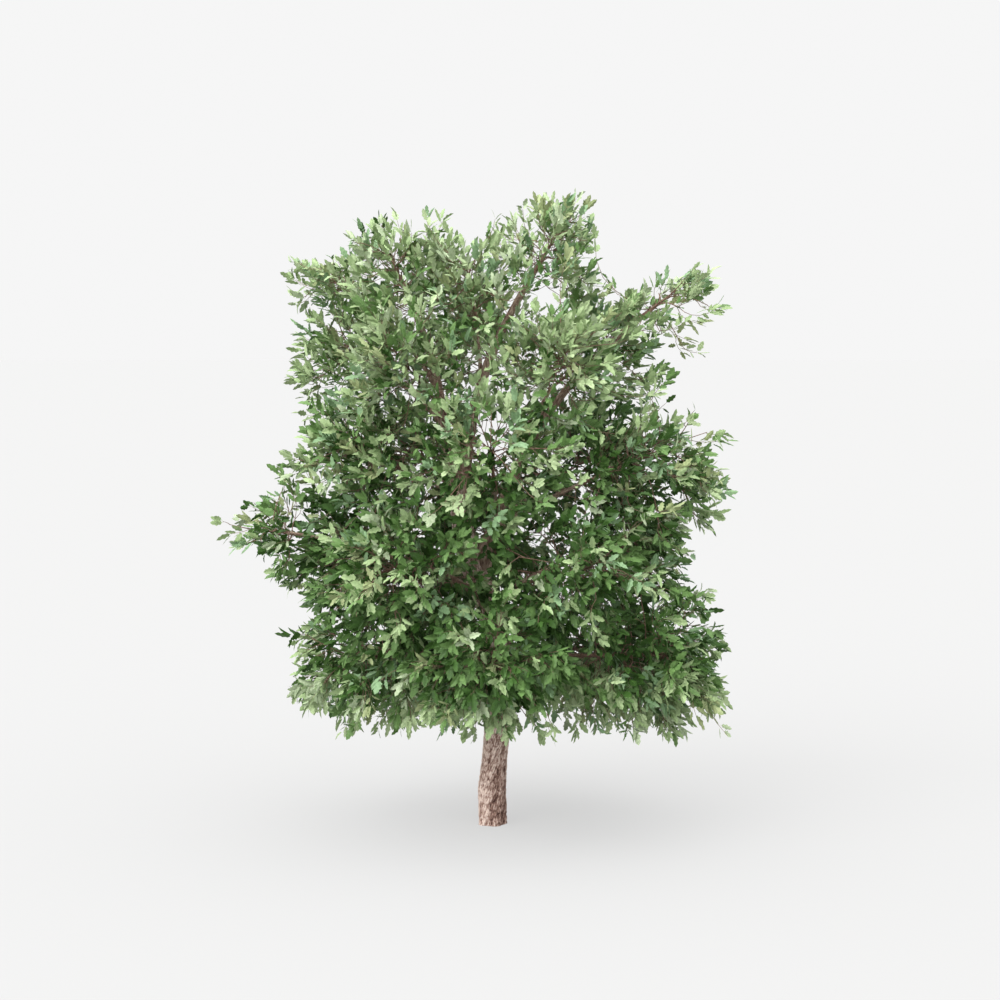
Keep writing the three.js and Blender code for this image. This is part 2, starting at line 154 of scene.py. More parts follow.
# Stems and twigs as they are drawn: points along them and sides round them.
STEM_RINGS, STEM_SIDES = 4, 8
TWIG_RINGS, TWIG_SIDES = 7, 5
SIDE_RINGS, SIDE_SIDES = 4, 3
STEM_TIP = 0.2  # of the stem's radius at its foot
TWIG_BEND = 0.35  # of its length, by which a twig's curve is drawn the stem's way
TWIG_RADII = (0.0075, 0.0035)
TWIG_TAPER = 0.8
SIDE_RADII = (0.0042, 0.002)

# The rule carried on to finer twigs, which the solids leave out: pairs along each twig, each pair
# turned across the last, and one that carries the twig on.
SIDE_FEET = (0.2, 1.0)  # from the first pair to the last, in shares of the twig
SIDE_FOOT_JITTER = 0.04
SIDE_SPACING = {"skirt": 0.06, "waist": 0.06, "shoulder": 0.062, "brow": 0.065, "top": 0.092}
GROUP_SEEDS = {"skirt": 600, "waist": 604, "shoulder": 891, "brow": 486, "top": 407}
AXIS_STEP = 0.05  # share of a twig that its way is read over
SIDE_SLANT = 0.3  # how steep the line is that the pairs are turned across
SIDE_ANGLES = (56, 36)  # degrees from the twig
SIDE_ANGLE_JITTER = 7
SIDE_LENGTHS = (0.4, 0.22)
SIDE_LENGTH_SHARES = (0.75, 1.15)
LAST_LENGTH_SHARES = (1, 1.8)  # of the one that carries the twig on
SHORTEST_SIDE = 0.06
TIP_ROOM = 0.06  # from a finer twig's tip to the open air, at least
SIDE_REACH = SIDE_LENGTHS[0] * 1.2 + TIP_ROOM  # how far ahead room is looked for
ROOM_SHARES = (0.5, 1.0)  # of the way to the open air
TIP_LEAF_REACH = 0.08  # from a finer twig's tip, where there has to be room for a leaf
FLOW_HEART = (-0.05, 0, 2.95)  # the place in the crown that all growth turns away from
FLOW_TILTS = (1.3, 0.8)  # how steeply growth turns down low down, and up high up
FLOW_PULL = 0.65
TWIG_VIGOUR = (0.25, 1.3)  # share of its finer twigs that a twig keeps
SHOOT_SHARE = 0.5  # of the twigs end in a shoot that stands out of the crown
SHOOT_LENGTH = 0.18
SPRAY_ROOM = 1.03  # size of the ovals that finer twigs keep to, against the masses'
LEAF_ROOM = 1.14  # and of those that leaves keep to
SPRAY_HANG = 0.04  # that finer twigs may hang below the crown's underside
LEAF_HANG = 0.08  # and that leaves may
BOX_ROOM = 0.09  # that leaves may stand out of the solids' box

# How the finer twigs thin out, with depth below the crown's surface. Losses are low down and high up.
EDGE_DEPTHS = (0.0, 0.5)  # towards the open air
EDGE_LOSS = (0.72, 0.87)
SHADE_DEPTHS = (0.5, 1.15)  # in the shade
SHADE_LOSS = (0.72, 0.97)
SHADE_HEIGHTS = (2.2, 3.8)
DEPTH_STEP = 0.05

# Painted light and shade: the light on the sprays, from 0 to about 1, which the leaves' greens are dealt
# by, darker greens where it is low.
LIGHT_LEVELS = (0.67, 0.33)  # above the first a spray is in the sun, and below the second in shade
LIGHT_HEIGHTS = (2.4, 5.1)  # between which the light on the crown's face grows
LIGHT_LOW = 0.54
DARK_DEPTHS = (0.05, 0.65)  # below the crown's surface, where the light is lost
DARK_LOSS = (0.92, 0.42)  # low down and high up
RIM_DEPTHS = (0.0, 0.25)  # below the surface, where the rim's leaves get painted shade, a deeper green
RIM_LOSS = 0.4
LIGHT_JITTER = 0.13
LOW_LIGHT = 0.42  # more, on the lowest leaves: painted light, as from the pale ground
LOW_HEIGHTS = (1.2, 2.0)
SHADED_CENTRE = (0.3, -1.6, 2.0)  # of the oval of painted shade under the overhang at the front
SHADED_RADII = (1.5, 1.6, 0.6)
SHADED_RIM = (0.4, 1.2)  # shares of its radii between which the darkness ends
SHADED_LOSS = 0.5

# Where the crown thins out, so that the sky shows between the sprays, or is denser: ovals that go
# through the crown from front to back, by their centre, across and up, and their radii. The last value
# is what the chance of a spray is multiplied by there.
PLACES = np.array([
    (1.52, 4.25, 0.5, 0.34, 0.4),
    (1.85, 5.1, 0.4, 0.3, 0.3),
    (2.35, 5.28, 0.3, 0.42, 1.8),
    (-0.95, 5.6, 0.55, 0.3, 0.7),
    (0.95, 5.4, 0.5, 0.3, 0.75),
    (-2.25, 5.25, 0.28, 0.35, 3),
    (-0.14, 4.67, 0.16, 0.18, 0.35),
    (-0.67, 4.55, 0.28, 0.25, 1.7),
    (-1.42, 5.9, 0.32, 0.25, 3),
    (-2.0, 5.55, 0.25, 0.2, 3),
    (2.3, 1.5, 0.3, 0.4, 2.5),
    (2.3, 3.05, 0.25, 0.25, 2.5),
    (1.5, 4.62, 0.25, 0.2, 2),
    (-2.0, 2.45, 0.22, 0.3, 2),
    (1.62, 4.8, 0.35, 0.24, 1.2),
    (2.05, 3.86, 0.3, 0.22, 0.45),
    (1.0, 5.72, 0.25, 0.35, 1.3),
    (0.7, 6.2, 0.3, 0.25, 1.8),
    (0.42, 5.88, 0.34, 0.16, 0.45),
    (0.33, 5.2, 0.26, 0.2, 0.1),
    (-0.5, 5.95, 0.22, 0.25, 3),
    (-1.9, 5.25, 0.5, 0.4, 0.45),
    (-1.98, 4.75, 0.35, 0.28, 0.8),
    (-1.8, 4.3, 0.45, 0.22, 0.5),
    (-2.05, 3.78, 0.36, 0.42, 1.6),
    (-2.02, 2.15, 0.2, 0.3, 2),
    (-2.38, 2.5, 0.3, 0.35, 0.6),
    (-2.6, 3.05, 0.4, 0.5, 0.65),
    (0.42, 2.85, 0.28, 0.24, 0.1),
    (0.0, 4.02, 0.23, 0.26, 0.12),
    (0.97, 1.01, 0.18, 0.18, 0.4),
    (-0.6, 1.1, 0.18, 0.2, 0.4),
    (-0.1, 2.4, 0.8, 0.95, 2.3),
    (-1.85, 1.05, 0.55, 0.34, 4),
    (2.2, 1.2, 0.4, 0.45, 3),
    (2.1, 2.3, 0.3, 0.4, 2),
    (1.55, 1.7, 0.55, 0.3, 2.2),
    (2.15, 3.35, 0.35, 0.45, 3),
    (-2.05, 1.9, 0.35, 0.6, 2.2),
])
PLACE_RIM = (0.75, 1.15)  # shares of an oval's radii between which its effect ends

# Where the crown is open to the sky between its domes and arms: centres and radii of ovals.
OPENINGS = np.array([
    [(-0.17, 0, 6.55), (0.23, 1.2, 0.7)],
    [(1.56, 0, 6.0), (0.5, 1.2, 0.42)],
    [(1.38, 0, 5.85), (0.26, 1.2, 0.42)],
    [(1.85, 0, 5.85), (0.3, 1.2, 0.28)],
    [(2.6, 0, 4.95), (0.4, 1.2, 0.3)],
    [(2.32, 0, 4.36), (0.6, 1.2, 0.38)],
    [(2.45, 0, 2.6), (0.36, 1.2, 0.24)],
    [(-1.9, 0, 6.02), (0.5, 1.2, 0.3)],
    [(-0.76, 0, 6.3), (0.14, 1.2, 0.32)],
    [(-2.6, 0, 3.5), (0.42, 1.2, 0.2)],
    [(-2.7, 0, 2.5), (0.34, 1.2, 0.3)],
    [(-0.62, -0.6, 0.88), (0.24, 1.4, 0.19)],
    [(1.32, -0.6, 0.82), (0.42, 1.4, 0.17)],
    [(2.42, -0.6, 0.88), (0.22, 1.4, 0.14)],
    [(0.3, 0, 6.7), (0.6, 1.2, 0.33)],
    [(1.42, 0, 6.2), (0.18, 1.2, 0.4)],
    [(0.02, -1.3, 0.96), (0.17, 1.4, 0.2)],
])

# Leaves: pairs along the end of a finer twig, each pair turned across the last, and one at its tip.
LEAF_PAIRS = [(0.015, 34), (0.07, 42), (0.125, 50)]  # place from the tip, degrees from the twig
LEAF_PLACE_JITTER = 0.008
LEAF_ANGLE_JITTER = 9
LEAF_TURN_JITTER = 0.25
TIP_LEAF_JITTER = 0.15
LEAVED_SHARE = 0.8  # of a finer twig
LEAF_PULL = 0.25  # with which a leaf turns to the light
LEAF_WAY_JITTER = 0.28
LEAF_OUTWARD = 1.1  # how much a leaf's face looks out of the crown
LEAF_UPWARD = 0.35  # and up
LEAF_FACE_JITTER = 0.55
LEAF_LENGTH = 0.12
LEAF_LENGTH_JITTER = 0.33
LEAF_WIDTHS = (0.8, 1.22)
STALK_LENGTH = 0.03
STALK_LENGTH_SHARES = (0.5, 1.3)
STALK_WIDTH = 0.003
BLADE_ROOM = 0.02  # from the middle of a leaf to a limb's skin
STALK_ROOM = 0.005
LIMB_STEP = 0.06  # between the places along a limb that leaves are kept away from

# Half of a leaf's outline, from its stalk to its tip: across and along, in shares of its length.
LEAF_EDGE = [(0, 0), (0.19, 0.15), (0.14, 0.28), (0.25, 0.47), (0.15, 0.6), (0.16, 0.78), (0, 1)]
LEAF_MIDRIB = (0, 0.5)
LEAF_BENDS = [(0.12, 0.1), (0.35, 0.28), (-0.12, 0.2), (0.55, 0.05), (0.25, -0.12)]  # fold, droop

# Bark: points round a limb, plates round it, a plate's length, the depth of the relief, and the
# radians that the plates turn by in a metre of limb.
TRUNK_BARK = {"columns": 180, "cells": 42, "plate_length": 0.075, "depth": 0.026,
              "twist": 1.6 * ROOT_RIB_TWIST}
LEADER_BARK = {"columns": 40, "cells": 10, "plate_length": 0.09, "depth": 0.006, "twist": 0.6}
BOUGH_BARK = {"columns": 18, "cells": 6, "plate_length": 0.07, "depth": 0.003, "twist": 0.5}
TRUNK_IN_SIGHT = 0.3  # share of the trunk that stands clear of the leaves, with closer rings
TRUNK_RINGS = (150, 90)  # in sight and above
LEADER_START, LEADER_RINGS = 0.01, 120
BOUGH_START, BOUGH_RINGS = 0.02, 44
TRUNK_SEED, LEADER_SEED, BOUGH_SEED = 7, 20, 40
END_STEP = 0.002  # share of a limb that the way of its ends is read over
SKIN_RELIEF = 0.7  # the height of the relief that lies at the limb's radius
PLAIN_RELIEF = 0.5  # the height for bark without relief of its own
PAINTED_SHADE_SIDE = (0.9, -0.45, 0)  # the side where painted shade darkens the trunk near the ground, with painted light on the other side
PAINTED_SHADE_FACING = (-0.1, 0.9)
PAINTED_LIGHT_FACING = (0.1, 1)
PAINTED_SHADE_HEIGHTS = (0.1, 0.8)
# How much painted shade darkens the trunk's bark on that side, and how much painted light makes it paler
# on the other.
BARK_PAINTED_SHADE = 0.16
BARK_PAINTED_LIGHT = 0.1


def smoothstep(x, low, high):
    t = np.clip((np.asarray(x, float) - low) / (high - low), 0, 1)
    return t * t * (3 - 2 * t)


def lerp(a, b, t):
    return a + (b - a) * t


def unit(vectors):
    vectors = np.asarray(vectors, float)
    return vectors / np.linalg.norm(vectors, axis=-1, keepdims=True)


def seeded(seed):
    """The solids' repeatable run of numbers from 0 to 1."""
    state = seed
    while True:
        state = (state * 1664525 + 1013904223) % 2**32
        yield state / 2**32


# Lines.


class Line:
    """A smooth line, read by the share of its length."""

    def __init__(self, points):
        self.points = np.asarray(points, float)
        steps = np.linalg.norm(np.diff(self.points, axis=0), axis=1)
        self.length = steps.sum()
        self.shares = np.concatenate([[0], np.cumsum(steps)]) / self.length

    def at(self, shares):
        return np.stack([np.interp(shares, self.shares, axis) for axis in self.points.T], -1)


def spline(knots, steps=60):
    """A smooth line through its knots."""
    knots = np.asarray(knots, float)
    knots = np.vstack([2 * knots[0] - knots[1], knots, 2 * knots[-1] - knots[-2]])
    t = np.linspace(0, 1, steps, endpoint=False)[:, None]
    points = []
    for p0, p1, p2, p3 in zip(knots, knots[1:], knots[2:], knots[3:]):
        d0, d1, d2 = (math.sqrt(np.linalg.norm(b - a)) for a, b in ((p0, p1), (p1, p2), (p2, p3)))
        start = ((p1 - p0) / d0 - (p2 - p0) / (d0 + d1) + (p2 - p1) / d1) * d1
        end = ((p2 - p1) / d1 - (p3 - p1) / (d1 + d2) + (p3 - p2) / d2) * d1
        square = 3 * (p2 - p1) - 2 * start - end
        cube = 2 * (p1 - p2) + start + end
        points.append(p1 + start * t + square * t**2 + cube * t**3)
    return Line(np.vstack([*points, knots[-2:-1]]))


def drawn_line(controls, steps=80):
    """A curve from the first control to the last, drawn towards those between."""
    t = np.linspace(0, 1, steps + 1)[:, None]
    order = len(controls) - 1
    weights = [math.comb(order, i) * t**i * (1 - t) ** (order - i) for i in range(order + 1)]
    return Line(sum(weight * np.asarray(control, float) for weight, control in zip(weights, controls)))


def point_at_height(line, height, steps=200):
    points = line.at(np.linspace(0, 1, steps + 1))
    return points[np.argmin(abs(points[:, 2] - height))]


# Masses and the space that each one keeps to.


def tier_masses(tier):
    """The masses of a tier, which stand round the axis."""
    right, back, left, front = tier["reach"]
    level, upright = tier["radius"]
    for i, stagger in enumerate(STAGGER):
        angle = math.radians(tier["turn"] + 360 * i / len(STAGGER))
        x = math.cos(angle) * ((right if math.cos(angle) > 0 else left) - level)
        y = math.sin(angle) * ((back if math.sin(angle) > 0 else front) - level)
        height = tier["height"] + MASS_STAGGER * upright * stagger
        yield {
            "name": f"{tier['name']}_{i + 1}",
            "group": tier["name"],
            "centre": (x, y, height),
            "radii": (level, level, upright),
            "foot": height - tier["rise"] + FOOT_STAGGER * upright * stagger,
            **{key: tier[key] for key in ("parent", "girth", "arrive")},
        }


masses = [mass for tier in TIERS for mass in tier_masses(tier)]
masses += [{**single, "group": "top"} for single in SINGLE_MASSES]
for number, mass in enumerate(masses):
    x, y, z = mass["centre"]
    mass["index"] = number
    mass["outward"] = unit([x, y, CROWN_TILT * (z - CROWN_HEART_HEIGHT)])
    mass["centre"] = np.array(mass["centre"])
    mass["radii"] = np.array(mass["radii"])
    mass["mean_radius"] = mass["radii"].mean()
CENTRES = np.array([mass["centre"] for mass in masses])
RADII = np.array([mass["radii"] for mass in masses])
MEAN_RADII = RADII.mean(axis=1)
IN_SKIRT = np.array([mass["group"] == "skirt" for mass in masses])


def oval_share(steps, radii, bulge=BULGE):
    """How far steps from a mass's centre go towards the face of its oval: 1 is on the face."""
    level = np.hypot(steps[..., 0] / radii[..., 0], steps[..., 1] / radii[..., 1])
    return (level**bulge + abs(steps[..., 2] / radii[..., 2]) ** bulge) ** (1 / bulge)


def above_underside(points, hang=0.0):
    return points[..., 2] >= UNDERSIDE_HEIGHT - hang - UNDERSIDE_RISE * np.minimum(points[..., 1], 0)


def in_own_space(points, mass):
    """True where points are in a mass's oval and on its own side of the faces between neighbours."""
    inside = oval_share(points - mass["centre"], mass["radii"]) <= 1
    inside &= above_underside(points)
    power = ((points[..., None, :] - CENTRES) ** 2).sum(-1) - MEAN_RADII**2
    others = np.arange(len(masses)) != mass["index"]
    between = 2 * np.linalg.norm(CENTRES - mass["centre"], axis=1)[others]
    depth = (power[..., others] - power[..., ~others]) / between
    return inside & (depth > MASS_ROOM).all(-1)


def way_out(inside, starts, directions, reach, step=REACH_STEP):
    """How far each start can go its way, up to a reach, before the next step isn't inside."""
    steps = np.arange(1, 1 + int(reach / step))[:, None] * step
    stays = inside(starts[..., None, :] + directions[..., None, :] * steps)
    return np.argmin(np.concatenate([stays, np.zeros_like(stays[..., :1])], -1), -1) * step


def reach_along(directions, mass):
    """How far a mass's own space goes from its centre in each direction."""
    reach = LONGEST_REACH * mass["radii"].max()
    return way_out(lambda points: in_own_space(points, mass), mass["centre"], directions, reach)


def in_crown(points, size=1.0, hang=0.0):
    """True where points are in any mass's oval and in no opening. The lowest masses are full below."""
    steps = points[..., None, :] - CENTRES
    bulge = np.where(IN_SKIRT & (steps[..., 2] < 0), SKIRT_BULGE, BULGE)
    inside = (oval_share(steps, size * RADII, bulge) <= 1).any(-1)
    away = (points[..., None, :] - OPENINGS[:, 0]) / OPENINGS[:, 1]
    return inside & above_underside(points, hang) & ((away**2).sum(-1) > 1).all(-1)


def spray_room(points):
    """True where finer twigs may be."""
    return in_crown(points, SPRAY_ROOM, SPRAY_HANG)


def has_room(points):
    """True where leaves may be: up to a little outside the masses and the solids' box."""
    low, high = np.array(cad_box)
    in_box = (points > low - BOX_ROOM) & (points < high + BOX_ROOM)
    return in_crown(points, LEAF_ROOM, LEAF_HANG) & in_box.all(-1)


# Limbs.


def limb_to(mass, name, start, radii, arrive, knee=None):
    """A limb that arrives in a mass at an angle of some degrees above the level."""
    angle = math.radians(arrive)
    outward = unit((mass["centre"] - start) * [1, 1, 0])
    heading = outward * math.cos(angle) + np.array([0, 0, math.sin(angle)])
    end = mass["centre"] - heading * ENTRY_SHARE * reach_along(-heading, mass)
    span = np.linalg.norm(end - start)
    if knee is None:
        line = drawn_line([start, end - heading * BOUGH_TURN * span, end])
    else:
        eased = lerp(np.array(knee), start, KNEE_EASE)
        line = drawn_line([start, eased, end - heading * LEADER_TURN * span, end])
    foot_radius, tip_radius = radii
    mass.update(foot_point=end, heading=heading, stem_radius=tip_radius)

    def radius_at(shares):
        swelling = FOOT_SWELLING * foot_radius * (1 - smoothstep(shares, 0, FOOT_SWELLING_SPAN))
        return lerp(foot_radius, tip_radius, shares**LIMB_TAPER) + swelling

    return {"name": name, "group": mass["group"], "line": line, "radius_at": radius_at}


def trunk_girth(heights):
    """The trunk's radius at some heights."""
    (low_height, low), *rest = TRUNK_GIRTH
    girth = np.full(np.shape(heights), float(low))
    for height, radius in rest:
        between = lerp(low, radius, smoothstep(heights, low_height, height))
        girth = np.where(heights > low_height, between, girth)
        low_height, low = height, radius
    return girth


trunk = {"name": "trunk", "group": "trunk", "line": spline(TRUNK_LINE)}
trunk["radius_at"] = lambda shares: trunk_girth(trunk["line"].at(shares)[..., 2])
mass_named = {mass["name"]: mass for mass in masses}
stems = [trunk]
for leader in LEADERS:
    start = point_at_height(trunk["line"], leader["foot"])
    mass = mass_named[leader["name"]]
    name = f"leader_{leader['name']}"
    stems.append(limb_to(mass, name, start, leader["radii"], leader["arrive"], leader["knee"]))


def nearest_start(mass):
    """Where a bough with no named parent starts: on the trunk or leader that passes nearest."""
    starts = [point_at_height(stem["line"], mass["foot"]) for stem in stems]
    starts = [start for start in starts if abs(start[2] - mass["foot"]) < SAME_HEIGHT]
    return min(starts, key=lambda start: np.linalg.norm(start - mass["centre"]))


boughs = []
for mass in masses:
    if "heading" in mass:
        continue
    named = [stem for stem in stems if stem["name"] == mass["parent"]]
    start = point_at_height(named[0]["line"], mass["foot"]) if named else nearest_start(mass)
    radii = (mass["girth"], BOUGH_TIP * mass["girth"])
    boughs.append(limb_to(mass, f"bough_{mass['name']}", start, radii, mass["arrive"]))
limbs = stems + boughs

# Meshes from arrays.


def mesh_object(name, points, faces, materials, face_materials=None, smooth=True, attributes=None):
    """An object from an array of points and one of triangles or quads."""
    sides = faces.shape[1]
    mesh = bpy.data.meshes.new(name)
    mesh.vertices.add(len(points))
    mesh.vertices.foreach_set("co", points.astype(np.float32).ravel())
    mesh.loops.add(faces.size)
    mesh.loops.foreach_set("vertex_index", faces.astype(np.int32).ravel())
    mesh.polygons.add(len(faces))
    mesh.polygons.foreach_set("loop_start", np.arange(0, faces.size, sides, dtype=np.int32))
    for material in materials:
        mesh.materials.append(material)
    if face_materials is not None:
        mesh.polygons.foreach_set("material_index", face_materials.astype(np.int32))
    for key, values in (attributes or {}).items():
        mesh.attributes.new(key, "FLOAT", "POINT").data.foreach_set("value", values.astype(np.float32))
    mesh.update(calc_edges=True)
    mesh.polygons.foreach_set("use_smooth", np.full(len(faces), smooth))
    mesh.update()
    item = bpy.data.objects.new(name, mesh)
    bpy.context.scene.collection.objects.link(item)
    return item


def joined(parts):
    """One array of points and one of faces from several of each."""
    starts = np.cumsum([0] + [len(points) for points, _ in parts])
    faces = [faces + start for (_, faces), start in zip(parts, starts)]
    return np.vstack([points for points, _ in parts]), np.vstack(faces)


def transported_frames(points):
    """Unit vectors across and beside each point of lines, turned as little as possible from one to
    the next. points is (lines, points, 3)."""
    along = unit(np.gradient(points, axis=1))
    reference = np.where(abs(along[:, 0, 1:2]) < 0.9, [[0.0, 1.0, 0.0]], [[1.0, 0.0, 0.0]])
    beside = np.empty_like(along)
    beside[:, 0] = unit(np.cross(along[:, 0], np.cross(along[:, 0], reference)))
    for i in range(1, points.shape[1]):
        lean = (beside[:, i - 1] * along[:, i]).sum(-1, keepdims=True)
        beside[:, i] = unit(beside[:, i - 1] - lean * along[:, i])
    return np.cross(along, beside), beside


def ring_angles(sides):
    return np.arange(sides) * 2 * math.pi / sides


def ring_ways(across, beside, angles):
    """Unit vectors from the points of lines to the points of the rings round them."""
    cosines, sines = np.cos(angles)[:, None], np.sin(angles)[:, None]
    return cosines * across[..., None, :] + sines * beside[..., None, :]


def ring_quads(lines, rings, sides):
    """Indices of the quads between the rings round lines."""
    first = np.arange(lines)[:, None, None] * rings * sides + np.arange(rings - 1)[:, None] * sides
    here = np.arange(sides)
    there = (here + 1) % sides
    quads = np.stack([first + here, first + there, first + sides + there, first + sides + here], -1)
    return quads.reshape(-1, 4)


def tubes(points, radii, sides):
    """Tubes round lines, open at both ends: points is (tubes, rings, 3) and radii (tubes, rings).
    Returns an array of points and one of quads."""
    ways = ring_ways(*transported_frames(points), ring_angles(sides))
    skin = points[:, :, None] + radii[..., None, None] * ways
    return skin.reshape(-1, 3), ring_quads(*radii.shape, sides)


# Materials.


def srgb(*values):
    """A base colour from plain 0 to 255 values."""
    shares = np.array(values) / 255
    linear = np.where(shares <= 0.04045, shares / 12.92, ((shares + 0.055) / 1.055) ** 2.4)
    return (*linear.tolist(), 1.0)


def new_material(name):
    material = bpy.data.materials.new(name)
    material.use_nodes = True
    nodes = material.node_tree.nodes
    return material, nodes, material.node_tree.links, nodes["Principled BSDF"]


def new_node(nodes, kind, **inputs):
    """A node of a kind, with values for some of its inputs."""
    node = nodes.new(kind)
    for name, value in inputs.items():
        node.inputs[name].default_value = value
    return node


def colour_ramp(nodes, *stops):
    """A ramp through two or more colours: (position, colour) from the lowest to the highest."""
    ramp = nodes.new("ShaderNodeValToRGB")
    elements = ramp.color_ramp.elements
    for i, (position, colour) in enumerate(stops):
        element = elements[i] if i < len(elements) else elements.new(position)
        element.position = position
        element.color = colour
    return ramp


def set_surface(nodes, links, shader, ramp, grain, relief, roughness, shine):
    """Give a shader its colours, and its grain as relief."""
    bump = new_node(nodes, "ShaderNodeBump", Strength=relief, Distance=0.01)
    links.new(ramp.outputs["Color"], shader.inputs["Base Color"])
    links.new(grain.outputs["Fac"], bump.inputs["Height"])
    links.new(bump.outputs["Normal"], shader.inputs["Normal"])
    shader.inputs["Roughness"].default_value = roughness
    shader.inputs["Specular IOR Level"].default_value = shine


def leaf_material(name, colour):
    """A green with faint blotches and a little relief, as of veins."""
    material, nodes, links, shader = new_material(name)
    place = nodes.new("ShaderNodeTexCoord")
    noise = new_node(nodes, "ShaderNodeTexNoise", Scale=46, Detail=3)
    red, green, blue, _ = colour
    dark = (red * 0.8, green * 0.84, blue * 0.78, 1)
    pale = (red * 1.18, green * 1.14, blue * 1.18, 1)
    blotches = colour_ramp(nodes, (0.3, dark), (0.7, pale))
    links.new(place.outputs["Object"], noise.inputs["Vector"])
    links.new(noise.outputs["Fac"], blotches.inputs["Fac"])
    set_surface(nodes, links, shader, blotches, noise, relief=0.25, roughness=0.55, shine=0.3)
    return material


def bark_material(name, furrow, plate, ridge, grain):
    """Bark whose colour follows its relief, with fine grain. On the trunk the relief's height also
    carries painted shade and painted light.
    """
    material, nodes, links, shader = new_material(name)
    relief = nodes.new("ShaderNodeAttribute")
    relief.attribute_name = "relief"
    place = nodes.new("ShaderNodeTexCoord")
    stretch = new_node(nodes, "ShaderNodeMapping", Scale=(1, 1, 0.4))
    noise = new_node(nodes, "ShaderNodeTexNoise", Scale=grain, Detail=6, Roughness=0.65)
    worn = nodes.new("ShaderNodeMath")
    worn.operation = "MULTIPLY_ADD"
    worn.inputs[1].default_value = 0.9
    worn.inputs[2].default_value = -0.45
    height = nodes.new("ShaderNodeMath")
    height.operation = "ADD"
    ramp = colour_ramp(nodes, (0.2, furrow), (0.5, plate), (0.85, ridge))
    links.new(place.outputs["Object"], stretch.inputs["Vector"])
    links.new(stretch.outputs["Vector"], noise.inputs["Vector"])
    links.new(noise.outputs["Fac"], worn.inputs[0])
    links.new(worn.outputs["Value"], height.inputs[0])
    links.new(relief.outputs["Fac"], height.inputs[1])
    links.new(height.outputs["Value"], ramp.inputs["Fac"])
    set_surface(nodes, links, shader, ramp, noise, relief=0.7, roughness=0.9, shine=0.2)
    return material


# The colours of leaves, and the share of each among the sprays in the sun, in half shade and in shade:
# the paler greens in the sun and darker ones in shade are painted light and shade.
LEAF_TINTS = {
    "light_green": (srgb(150, 168, 126), 0.26, 0.04, 0),
    "green": (srgb(137, 158, 112), 0.36, 0.34, 0.08),
    "sage": (srgb(155, 170, 137), 0.14, 0.06, 0),
    "blue_green": (srgb(116, 145, 106), 0.1, 0.14, 0.06),
    "deep_green": (srgb(93, 124, 69), 0.06, 0.34, 0.32),
    "shade_green": (srgb(55, 86, 34), 0, 0.03, 0.52),
    "olive": (srgb(142, 154, 110), 0.08, 0.05, 0.02),
}
leaf_materials = [leaf_material(f"leaf_{name}", colour) for name, (colour, *_) in LEAF_TINTS.items()]
tint_shares = np.array([shares for _, *shares in LEAF_TINTS.values()]).T
bark = bark_material("bark", srgb(56, 35, 31), srgb(139, 110, 98), srgb(222, 202, 190), 130)
limb_bark = bark_material("limb_bark", srgb(84, 62, 54), srgb(128, 106, 92), srgb(170, 150, 134), 70)
twig_bark = bark_material("twig_bark", srgb(92, 70, 60), srgb(124, 100, 86), srgb(150, 126, 110), 90)

# Bark.


def plates(around, along, cells, rng):
    """Height of bark that is split into long plates, from 0 in a furrow to 1 on a plate. around and
    along are counted in plates, and around closes on itself after a number of cells."""
    rows = int(along.max()) + 3
    shift = rng.random((cells, rows, 2))
    column, row = np.floor(around).astype(int), np.floor(along).astype(int)
    distances = []
    for i in (-1, 0, 1):
        for j in (-1, 0, 1):
            offset = shift[(column + i) % cells, np.clip(row + j, 0, rows - 1)]
            sideways = column + i + offset[..., 0] - around
            upwards = row + j + offset[..., 1] - along
            distances.append(np.linalg.norm(np.stack([sideways, upwards], -1), axis=-1))
    nearest, second = np.sort(np.stack(distances), axis=0)[:2]
    return smoothstep(second - nearest, 0.0, 0.5)


def ridges(around, along, cells, rng):
    """Smooth random height from 0 to 1 with crests, which closes on itself as plates does."""
    rows = int(along.max()) + 3
    heights = rng.random((cells, rows))
    column, row = np.floor(around).astype(int), np.floor(along).astype(int)
    s, t = smoothstep(around - column, 0, 1), smoothstep(along - row, 0, 1)
    low = lerp(heights[column % cells, row], heights[(column + 1) % cells, row], s)
    high = lerp(heights[column % cells, row + 1], heights[(column + 1) % cells, row + 1], s)
    return 1 - abs(2 * lerp(low, high, t) - 1)


def bark_relief(around, along, cells, rng):
    """Broad swellings, then plates, ridges and finer ridges, which wander a little round the limb."""
    wander = 0.5 * ridges(around / 2, along / 1.3, cells // 2, rng)
    return (
        0.2 * ridges(around / 3, along / 2.2, cells // 3, rng)
        + 0.25 * plates(around + wander, along, cells, rng)
        + 0.3 * ridges(around + wander, 0.8 * along, cells, rng)
        + 0.25 * ridges(2 * around + wander, 2.2 * along, 2 * cells, rng)
    )


